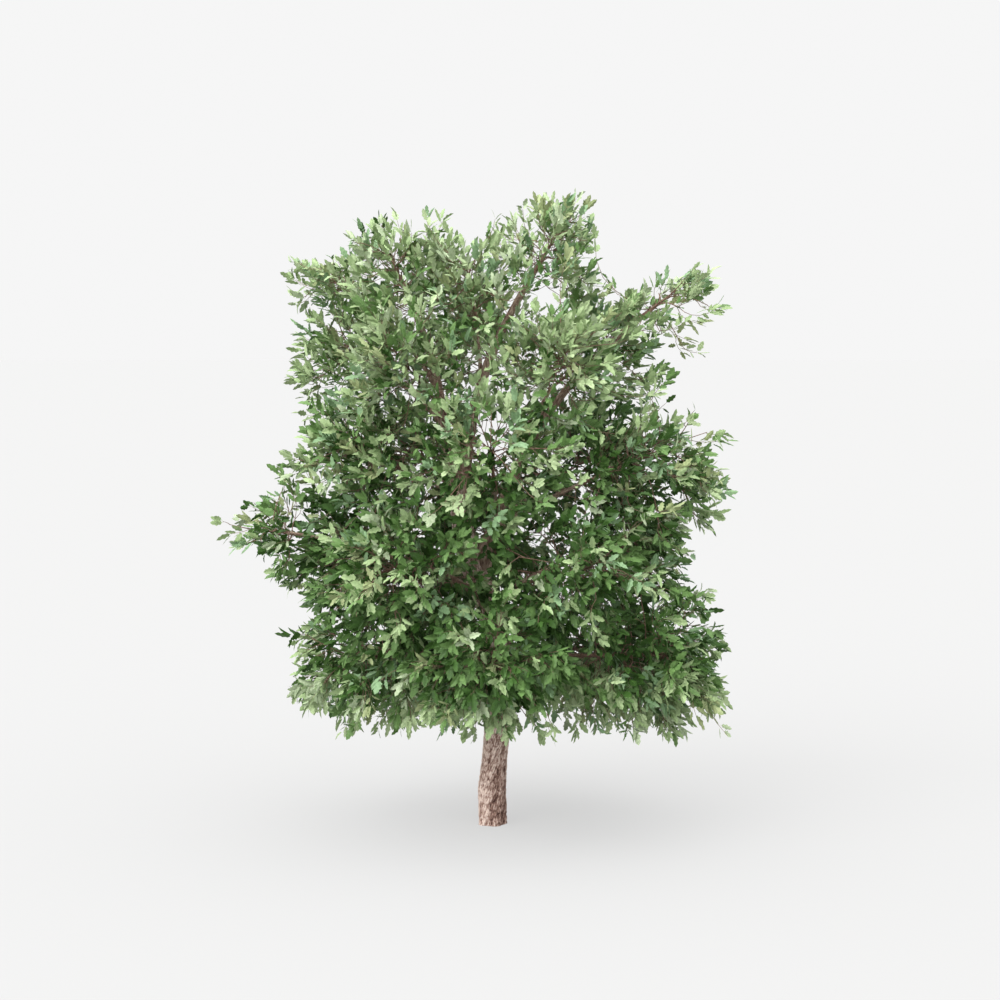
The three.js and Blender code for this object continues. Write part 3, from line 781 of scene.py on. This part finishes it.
def bark_mesh(limb, shares, seed, columns, cells, plate_length, depth, twist):
    """A limb's skin with relief, closed at both ends: points, triangles and the relief's height, which on
    the trunk also carries painted shade and painted light.
    """
    line = limb["line"]
    centre = line.at(shares)
    before = 2 * line.at(0.0) - line.at(END_STEP)
    after = 2 * line.at(1.0) - line.at(1 - END_STEP)
    frames = transported_frames(np.vstack([before, centre, after])[None])
    across, beside = (vectors[0, 1:-1] for vectors in frames)
    angles = ring_angles(columns)
    ways = ring_ways(across, beside, angles)
    length = shares[:, None] * line.length
    around = (angles / (2 * math.pi)) * cells + twist * length * cells / (2 * math.pi)
    height = bark_relief(around, length / plate_length + 1, cells, np.random.default_rng(seed))
    radius = limb["radius_at"](shares)[:, None] * np.ones_like(angles)
    levels = centre[:, 2:]
    if limb["name"] == "trunk":
        ribs = np.cos(ROOT_RIBS * (angles + ROOT_RIB_TWIST * levels))
        radius = radius * (1 + ROOT_RIB_DEPTH * (1 - smoothstep(levels, 0, ROOT_RIB_HEIGHT)) * ribs)
    radius = radius + depth * (height - SKIN_RELIEF)
    # Painted shade on one side of the trunk near the ground, and painted light on the other side.
    if limb["name"] == "trunk":
        facing = ways @ unit(PAINTED_SHADE_SIDE)
        painted_shade = smoothstep(facing, *PAINTED_SHADE_FACING) * (1 - smoothstep(levels, *PAINTED_SHADE_HEIGHTS))
        height = height + BARK_PAINTED_LIGHT * smoothstep(-facing, *PAINTED_LIGHT_FACING) - BARK_PAINTED_SHADE * painted_shade

    skin = centre[:, None] + radius[..., None] * ways
    points = np.vstack([skin.reshape(-1, 3), centre[:1], centre[-1:]])
    heights = np.concatenate([height.ravel(), [PLAIN_RELIEF, PLAIN_RELIEF]])
    quads = ring_quads(1, len(shares), columns)
    foot, tip = len(points) - 2, len(points) - 1
    here = np.arange(columns)
    there = (here + 1) % columns
    last = (len(shares) - 1) * columns
    foot_cap = np.stack([np.full(columns, foot), there, here], -1)
    tip_cap = np.stack([np.full(columns, tip), last + here, last + there], -1)
    triangles = np.vstack([quads[:, [0, 1, 2]], quads[:, [0, 2, 3]], foot_cap, tip_cap])
    return points, triangles, heights


def bark_object(name, material, skins):
    """One object from the skins of one or more limbs."""
    points, triangles = joined([(points, triangles) for points, triangles, _ in skins])
    relief = np.concatenate([heights for _, _, heights in skins])
    return mesh_object(name, points, triangles, [material], attributes={"relief": relief})


in_sight = np.linspace(0, TRUNK_IN_SIGHT, TRUNK_RINGS[0], endpoint=False)
above = np.linspace(TRUNK_IN_SIGHT, 1, TRUNK_RINGS[1])
trunk_skin = bark_mesh(trunk, np.concatenate([in_sight, above]), TRUNK_SEED, **TRUNK_BARK)
piece = bark_object("bark_trunk", bark, [trunk_skin])
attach(piece, "root")
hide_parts("trunk")
for i, leader in enumerate(stems[1:]):
    skin = bark_mesh(leader, np.linspace(LEADER_START, 1, LEADER_RINGS), LEADER_SEED + i, **LEADER_BARK)
    piece = bark_object(f"bark_{leader['name']}", limb_bark, [skin])
    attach(piece, "root")
    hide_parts(leader["name"])
bough_shares = np.linspace(BOUGH_START, 1, BOUGH_RINGS)
for group in dict.fromkeys(bough["group"] for bough in boughs):
    members = [bough for bough in boughs if bough["group"] == group]
    skins = [
        bark_mesh(bough, bough_shares, BOUGH_SEED + i, **BOUGH_BARK) for i, bough in enumerate(members)
    ]
    piece = bark_object(f"bark_boughs_{group}", limb_bark, skins)
    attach(piece, "root")
    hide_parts(*(bough["name"] for bough in members))

# Twigs.


def spread_directions(count, turn):
    """Directions spread evenly over a sphere."""
    i = np.arange(count)
    z = 1 - (2 * i + 1) / count
    level = np.sqrt(1 - z * z)
    angle = math.pi * (3 - math.sqrt(5)) * i + turn
    return np.stack([level * np.cos(angle), level * np.sin(angle), z], -1)


def turned_from_up(directions, pole):
    """Directions, turned so that the upward one looks to the pole."""
    axis = np.cross([0, 0, 1], pole)
    sine = np.linalg.norm(axis)
    if sine < 1e-9:
        return directions
    axis = axis / sine
    cosine = pole[2]
    along = (directions @ axis)[:, None] * axis
    return directions * cosine + np.cross(axis, directions) * sine + along * (1 - cosine)


def main_twigs(mass):
    """The feet and tips of a mass's twigs: as in its solid, and more where it meets its neighbours."""
    random = seeded(FIRST_SEED + SEED_STEP * mass["index"])
    for _ in range(CORE_DRAWS):
        next(random)
    turn = next(random) * 2 * math.pi
    directions = turned_from_up(spread_directions(TWIG_DIRECTIONS, turn), mass["outward"])
    reaches = reach_along(directions, mass)
    is_open = reaches * oval_share(directions, mass["radii"]) > TWIG_OPEN_SHARE
    shares = np.where(is_open, TWIG_SHARE, CLOSED_TWIG_SHARE)
    for i in np.flatnonzero(is_open):
        shares[i] += (next(random) - 0.5) * 2 * TWIG_SHARE_JITTER
        for _ in range(TWIG_DRAWS):
            next(random)
    along = lerp(*TWIG_FEET, 0.5 + 0.5 * directions @ mass["heading"])
    feet = mass["centre"] + mass["heading"] * (along * mass["mean_radius"])[:, None]
    tips = mass["centre"] + directions * (reaches * shares)[:, None]
    return feet, tips


def flow(points):
    """The way that growth turns to the light: away from the crown's middle."""
    ways = points - np.array(FLOW_HEART)
    ways[..., 2] *= np.where(ways[..., 2] < 0, *FLOW_TILTS)
    return unit(ways)


def curve_points(starts, middles, ends, t):
    """Points of quadratic curves."""
    return starts * (1 - t) ** 2 + 2 * middles * t * (1 - t) + ends * t**2


def curve_rings(starts, middles, ends, rings):
    """The same number of points on each curve: (curves, rings, 3)."""
    t = np.linspace(0, 1, rings)[:, None]
    return curve_points(starts[:, None], middles[:, None], ends[:, None], t)


def place_chance(points):
    """What the chance of a spray is multiplied by, which is 1 away from the places above."""
    x, z, across, up, chance = PLACES.T
    away = np.hypot((points[:, :1] - x) / across, (points[:, 2:] - z) / up)
    return lerp(chance, 1, smoothstep(away, *PLACE_RIM)).prod(-1)


def dealt_sides(lines, spacing, rng):
    """Finer twigs at all the places along a mass's twigs: arrays of their starts, headings, lengths and
    shoots' lengths, of their twigs' vigours and numbers, and of the shares where they stand."""
    dealt = []
    for number, points in enumerate(lines):
        line = Line(points)
        vigour = rng.uniform(*TWIG_VIGOUR)
        count = max(2, round((SIDE_FEET[1] - SIDE_FEET[0]) * line.length / spacing))
        turn = rng.uniform(0, 2 * math.pi)
        for i in range(count):
            t = i / (count - 1)
            share = lerp(*SIDE_FEET, t)
            axis = unit(line.at(share) - line.at(share - AXIS_STEP))
            side = unit(np.cross(axis, [math.cos(turn), math.sin(turn), SIDE_SLANT]))
            side = side if i % 2 else np.cross(axis, side)
            for half in (1, -1):
                angle = math.radians(lerp(*SIDE_ANGLES, t) + rng.normal(0, SIDE_ANGLE_JITTER))
                start = line.at(share - rng.uniform(0, SIDE_FOOT_JITTER))
                heading = math.cos(angle) * axis + math.sin(angle) * half * side
                length = lerp(*SIDE_LENGTHS, t) * rng.uniform(*SIDE_LENGTH_SHARES)
                dealt.append((start, heading, length, 0, vigour, number, share))
        length = SIDE_LENGTHS[1] * rng.uniform(*LAST_LENGTH_SHARES)
        shoot = SHOOT_LENGTH * (rng.random() < SHOOT_SHARE)
        dealt.append((line.at(1.0), axis, length, shoot, 1, number, 1))
    return [np.array(values) for values in zip(*dealt)]


def side_twigs(lines, spacing, rng):
    """The finer twigs of a mass that light and room let grow: their starts, middles and ends, how deep
    they are, and the share of each twig that they leave in use."""
    starts, headings, lengths, shoots, vigours, numbers, shares = dealt_sides(lines, spacing, rng)
    ways = unit(headings + FLOW_PULL * flow(starts))
    room = way_out(spray_room, starts, ways, SIDE_REACH) - TIP_ROOM
    lengths = np.minimum(lengths, room * rng.uniform(*ROOM_SHARES, len(room))) + shoots
    middles = starts + headings * lengths[:, None] * 0.5
    ends = starts + ways * lengths[:, None]
    depth = way_out(in_crown, ends, flow(ends), SHADE_DEPTHS[1] + 2 * DEPTH_STEP, DEPTH_STEP)
    high = smoothstep(ends[:, 2], *SHADE_HEIGHTS)
    shade = lerp(*SHADE_LOSS, high) * smoothstep(depth, *SHADE_DEPTHS)
    edge = lerp(*EDGE_LOSS, high) * (1 - smoothstep(depth, *EDGE_DEPTHS))
    chance = place_chance(ends) * vigours * (1 - shade)
    chance *= np.where(shoots > 0, 1, 1 - edge)
    kept = (lengths > SHORTEST_SIDE) & has_room(ends + TIP_LEAF_REACH * ways)
    kept &= rng.random(len(lengths)) < chance
    in_use = np.zeros(len(lines))
    np.maximum.at(in_use, numbers[kept], shares[kept])
    return (starts[kept], middles[kept], ends[kept]), depth[kept], in_use


# Leaves.


def leaf_shapes():
    """Points and triangles of the leaf's bends: (bends, points, 3) and (triangles, 3)."""
    right = LEAF_EDGE[1:-1]
    flat = [*LEAF_EDGE, LEAF_MIDRIB, *[(-x, y) for x, y in right]]
    edge = list(range(len(LEAF_EDGE)))
    hub = len(edge)
    left = [0, *range(hub + 1, hub + 1 + len(right)), edge[-1]]
    triangles = [(hub, a, b) for a, b in zip(edge, edge[1:])]
    triangles += [(hub, b, a) for a, b in zip(left, left[1:])]
    x, y = np.array(flat).T
    shapes = [np.stack([x, y, fold * abs(x) - droop * y**2], -1) for fold, droop in LEAF_BENDS]
    return np.array(shapes), np.array(triangles)


LEAF_SHAPES, LEAF_TRIANGLES = leaf_shapes()


def leaves_along(starts, middles, ends, rng):
    """Leaves on finer twigs: their stalks' feet, roots, ways, faces, lengths and the twig of each one."""
    count = len(ends)
    spans = np.linalg.norm(ends - starts, axis=1)
    last = unit(ends - middles)
    side = unit(np.cross(last, unit(rng.normal(size=(count, 3)))))
    other = np.cross(last, side)
    feet, twig = [ends], [np.arange(count)]
    ways = [unit(last + rng.normal(0, TIP_LEAF_JITTER, last.shape))]
    for i, (place, angle) in enumerate(LEAF_PAIRS):
        for half in (1, -1):
            on = np.flatnonzero(place < LEAVED_SHARE * spans)
            t = 1 - (place + rng.normal(0, LEAF_PLACE_JITTER, len(on))).clip(0) / spans[on]
            t = t[:, None]
            foot = curve_points(starts[on], middles[on], ends[on], t)
            axis = unit(lerp(middles[on] - starts[on], ends[on] - middles[on], t))
            spread = np.radians(angle + rng.normal(0, LEAF_ANGLE_JITTER, len(on)))[:, None]
            turn = (math.pi / 2 * i + rng.normal(0, LEAF_TURN_JITTER, len(on)))[:, None]
            across = half * (np.cos(turn) * side[on] + np.sin(turn) * other[on])
            feet.append(foot)
            ways.append(unit(np.cos(spread) * axis + np.sin(spread) * across))
            twig.append(on)
    feet, ways, twig = np.concatenate(feet), np.concatenate(ways), np.concatenate(twig)
    out = flow(feet)
    roots = feet + ways * STALK_LENGTH * rng.uniform(*STALK_LENGTH_SHARES, (len(feet), 1))
    ways = unit(ways + LEAF_PULL * out + rng.normal(0, LEAF_WAY_JITTER, ways.shape))
    faces = LEAF_OUTWARD * out + np.array([0, 0, LEAF_UPWARD])
    faces = unit(faces + rng.normal(0, LEAF_FACE_JITTER, ways.shape))
    lengths = LEAF_LENGTH * (1 + rng.uniform(-1, 1, len(feet)) * LEAF_LENGTH_JITTER)
    return feet, roots, ways, faces, lengths, twig


def near_a_limb(points, room):
    """True where points are closer than room to the skin of a limb."""
    close = np.zeros(len(points), bool)
    for limb in limbs:
        shares = np.linspace(0, 1, 2 + int(limb["line"].length / LIMB_STEP))
        centre, radius = limb["line"].at(shares), limb["radius_at"](shares)
        margin = radius.max() + room
        in_box = (points > centre.min(0) - margin) & (points < centre.max(0) + margin)
        near = np.flatnonzero(in_box.all(1))
        away = np.linalg.norm(points[near, None] - centre, axis=-1) - radius
        close[near] |= away.min(1) < room
    return close


def leaves_mesh(feet, roots, ways, faces, lengths, tints, rng):
    """Points, triangles and the material of each triangle, with a narrow one for each stalk."""
    count = len(roots)
    across = unit(np.cross(ways, faces))
    up = np.cross(across, ways)
    shape = LEAF_SHAPES[rng.integers(len(LEAF_SHAPES), size=count)] * lengths[:, None, None]
    shape[..., 0] *= rng.uniform(*LEAF_WIDTHS, (count, 1))
    axes = enumerate((across, ways, up))
    blades = roots[:, None] + sum(shape[..., i : i + 1] * axis[:, None] for i, axis in axes)
    half_stalk = across * STALK_WIDTH / 2
    stalks = np.stack([feet, roots + half_stalk, roots - half_stalk], 1)
    points = np.concatenate([blades, stalks], 1)
    size = points.shape[1]
    one_leaf = np.vstack([LEAF_TRIANGLES, [[size - 3, size - 2, size - 1]]])
    triangles = one_leaf + np.arange(count)[:, None, None] * size
    return points.reshape(-1, 3), triangles.reshape(-1, 3), np.repeat(tints, len(one_leaf))


def dealt_tints(ends, depth, rng):
    """A colour for each spray, with painted light and shade: darker ones deep in the crown, low down, at
    its rim and under the front overhang, and paler ones on the lowest leaves.
    """
    high = smoothstep(ends[:, 2], *LIGHT_HEIGHTS)
    light = lerp(LIGHT_LOW, 1, high) * (1 - lerp(*DARK_LOSS, high) * smoothstep(depth, *DARK_DEPTHS))
    light *= 1 - RIM_LOSS * (1 - smoothstep(depth, *RIM_DEPTHS))
    light += LOW_LIGHT * (1 - smoothstep(ends[:, 2], *LOW_HEIGHTS))
    away = np.linalg.norm((ends - SHADED_CENTRE) / SHADED_RADII, axis=1)
    light *= 1 - SHADED_LOSS * (1 - smoothstep(away, *SHADED_RIM))
    light += rng.normal(0, LIGHT_JITTER, len(light))
    level = np.digitize(light, LIGHT_LEVELS)
    tints = np.stack([rng.choice(len(s), p=s / s.sum(), size=len(ends)) for s in tint_shares])
    return tints[level, np.arange(len(ends))]


def grown_mass(mass, rng):
    """A mass's stem, twigs and finer twigs as parts of a mesh, its leaves as one, and their tints."""
    feet, tips = main_twigs(mass)
    spans = np.linalg.norm(tips - feet, axis=1, keepdims=True)
    twigs = curve_rings(feet, feet + mass["heading"] * TWIG_BEND * spans, tips, TWIG_RINGS)
    side, depth, in_use = side_twigs(twigs, SIDE_SPACING[mass["group"]], rng)
    used = [(Line(points), end) for points, end in zip(twigs, in_use) if end]
    twigs = np.stack([line.at(np.linspace(0, end, TWIG_RINGS)) for line, end in used])
    twig_radii = lerp(*TWIG_RADII, np.linspace(0, 1, TWIG_RINGS) ** TWIG_TAPER)
    stem_end = mass["centre"] + mass["heading"] * STEM_SHARE * mass["mean_radius"]
    stem = lerp(mass["foot_point"], stem_end, np.linspace(0, 1, STEM_RINGS)[:, None])[None]
    stem_radii = np.linspace(1, STEM_TIP, STEM_RINGS)[None] * mass["stem_radius"]
    wood = [
        tubes(stem, stem_radii, STEM_SIDES),
        tubes(twigs, np.tile(twig_radii, (len(twigs), 1)), TWIG_SIDES),
        tubes(
            curve_rings(*side, SIDE_RINGS),
            np.tile(np.linspace(*SIDE_RADII, SIDE_RINGS), (len(depth), 1)),
            SIDE_SIDES,
        ),
    ]
    *leaves, twig = leaves_along(*side, rng)
    _, roots, ways, _, lengths = leaves
    ends = roots + ways * lengths[:, None]
    middles = roots + ways * lengths[:, None] * 0.5
    kept = has_room(ends) & ~near_a_limb(middles, BLADE_ROOM) & ~near_a_limb(roots, STALK_ROOM)
    tints = dealt_tints(side[2], depth, rng)[twig]
    *foliage, tints = leaves_mesh(*(values[kept] for values in leaves), tints[kept], rng)
    return wood, foliage, tints


for group in dict.fromkeys(mass["group"] for mass in masses):
    rng = np.random.default_rng(GROUP_SEEDS[group])
    members = [mass for mass in masses if mass["group"] == group]
    grown = [grown_mass(mass, rng) for mass in members]
    points, quads = joined([part for wood, _, _ in grown for part in wood])
    relief = np.full(len(points), PLAIN_RELIEF)
    twigs = mesh_object(f"twigs_{group}", points, quads, [twig_bark], attributes={"relief": relief})
    points, triangles = joined([foliage for _, foliage, _ in grown])
    tints = np.concatenate([tints for _, _, tints in grown])
    leaves = mesh_object(f"leaves_{group}", points, triangles, leaf_materials, tints, smooth=False)
    for piece, slot in ((twigs, "bark"), (leaves, "foliage")):
        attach(piece, "root")
        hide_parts(*(f"foliage_{mass['name']}" for mass in members))

# Floor, light and camera.
FLOOR_HALF = 8000
CAMERA_DIP = 4.244  # degrees that the camera looks down by

floor_corners = np.array([(-1, -1, 0), (1, -1, 0), (1, 1, 0), (-1, 1, 0)]) * FLOOR_HALF
floor = mesh_object("floor", floor_corners, np.array([[0, 1, 2, 3]]), [], smooth=False)
floor_material, _, _, floor_shader = new_material("floor")
floor_shader.inputs["Base Color"].default_value = (0.125, 0.125, 0.124, 1)
floor_shader.inputs["Roughness"].default_value = 1
floor_shader.inputs["Specular IOR Level"].default_value = 0
floor_shader.inputs["Emission Color"].default_value = (1, 1, 1, 1)
floor_shader.inputs["Emission Strength"].default_value = 0.56
floor.data.materials.append(floor_material)

# The studio's walls are pale low down and dimmer higher up.
world = bpy.data.worlds.new("studio")
world.use_nodes = True
nodes, links = world.node_tree.nodes, world.node_tree.links
way = nodes.new("ShaderNodeTexCoord")
split = nodes.new("ShaderNodeSeparateXYZ")
walls = colour_ramp(nodes, (0.22, (0.92, 0.92, 0.92, 1)), (0.5, (0.55, 0.55, 0.55, 1)))
links.new(way.outputs["Generated"], split.inputs["Vector"])
links.new(split.outputs["Z"], walls.inputs["Fac"])
links.new(walls.outputs["Color"], nodes["Background"].inputs["Color"])
bpy.context.scene.world = world


def add_sun(name, energy, width, tilts):
    """A wide, soft sun, tilted from straight overhead about x and y. Angles are in degrees."""
    lamp = bpy.data.lights.new(name, "SUN")
    lamp.energy = energy
    lamp.angle = math.radians(width)
    item = bpy.data.objects.new(name, lamp)
    item.rotation_euler = (math.radians(tilts[0]), math.radians(tilts[1]), 0)
    bpy.context.scene.collection.objects.link(item)


add_sun("overhead", 5.9, 115, (12, -5))
add_sun("from_the_left", 2.2, 50, (35, -48))

camera_data = bpy.data.cameras.new("camera")
camera_data.lens = 68.4
camera_data.sensor_width = 36
camera_data.clip_end = 20000
camera = bpy.data.objects.new("camera", camera_data)
camera.location = (0.08, -19, 4.7)
camera.rotation_euler = (math.radians(90 - CAMERA_DIP), 0, 0)
bpy.context.scene.collection.objects.link(camera)
bpy.context.scene.camera = camera
bpy.context.scene.view_settings.view_transform = "Standard"
